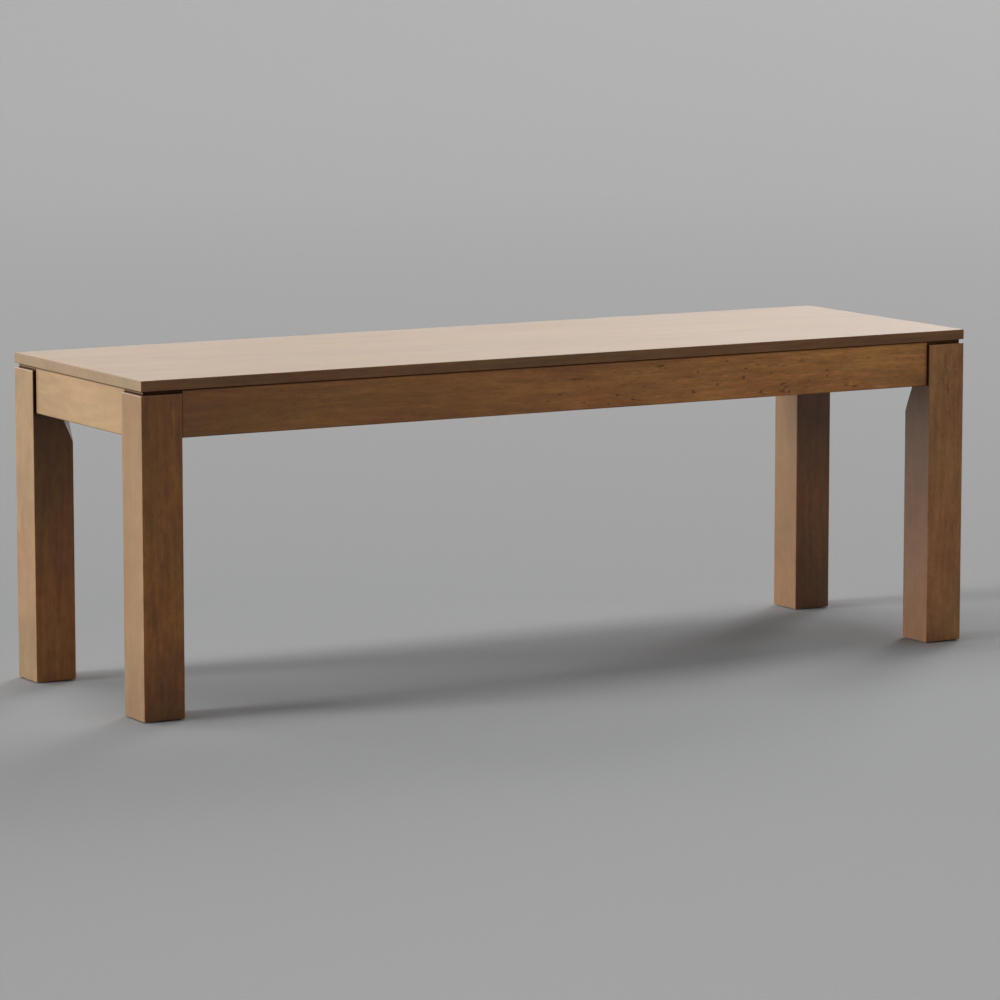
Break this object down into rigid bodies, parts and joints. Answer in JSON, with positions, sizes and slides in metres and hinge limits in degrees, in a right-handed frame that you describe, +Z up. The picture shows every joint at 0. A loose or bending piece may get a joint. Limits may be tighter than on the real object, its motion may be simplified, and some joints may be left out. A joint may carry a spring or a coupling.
{
  "type": "wooden bench",
  "caption": "Backless wooden bench with a thin flush seat, square legs with shadow gaps and inset aprons; seats people beside a table or in a hall.",
  "frame": {"origin": "on the floor, at the centre of the footprint", "axes": "+X along the bench's length to the right, the long front faces -Y, +Z up"},
  "size_m": [1.32, 0.405, 0.457],
  "materials": {
    "stained_wood": "brown stain under a satin lacquer",
    "raw_wood": "bare planed hardwood",
    "zinc_steel": "bright zinc plate",
    "insert_brass": "plain turned brass",
    "glide_plastic": "moulded, matte"
  },
  "bodies": {
    "root": {"seat_board_1": "stained_wood", "seat_board_2": "stained_wood", "seat_board_3": "stained_wood", "seat_board_4": "stained_wood", "front_apron": "stained_wood", "back_apron": "stained_wood", "left_apron": "stained_wood", "right_apron": "stained_wood", "front_left_leg": "stained_wood", "front_right_leg": "stained_wood", "back_left_leg": "stained_wood", "back_right_leg": "stained_wood", "front_left_corner_block": "raw_wood", "front_right_corner_block": "raw_wood", "back_left_corner_block": "raw_wood", "back_right_corner_block": "raw_wood", "left_cross_rail": "raw_wood", "middle_cross_rail": "raw_wood", "right_cross_rail": "raw_wood", "front_left_glide": "glide_plastic", "front_right_glide": "glide_plastic", "back_left_glide": "glide_plastic", "back_right_glide": "glide_plastic", "leg_inserts": "insert_brass", "leg_bolts": "zinc_steel", "leg_bolt_spring_washers": "zinc_steel", "leg_bolt_washers": "zinc_steel", "corner_block_screws": "zinc_steel", "corner_seat_screws": "zinc_steel", "rail_seat_screws": "zinc_steel"}
  },
  "joints": []
}
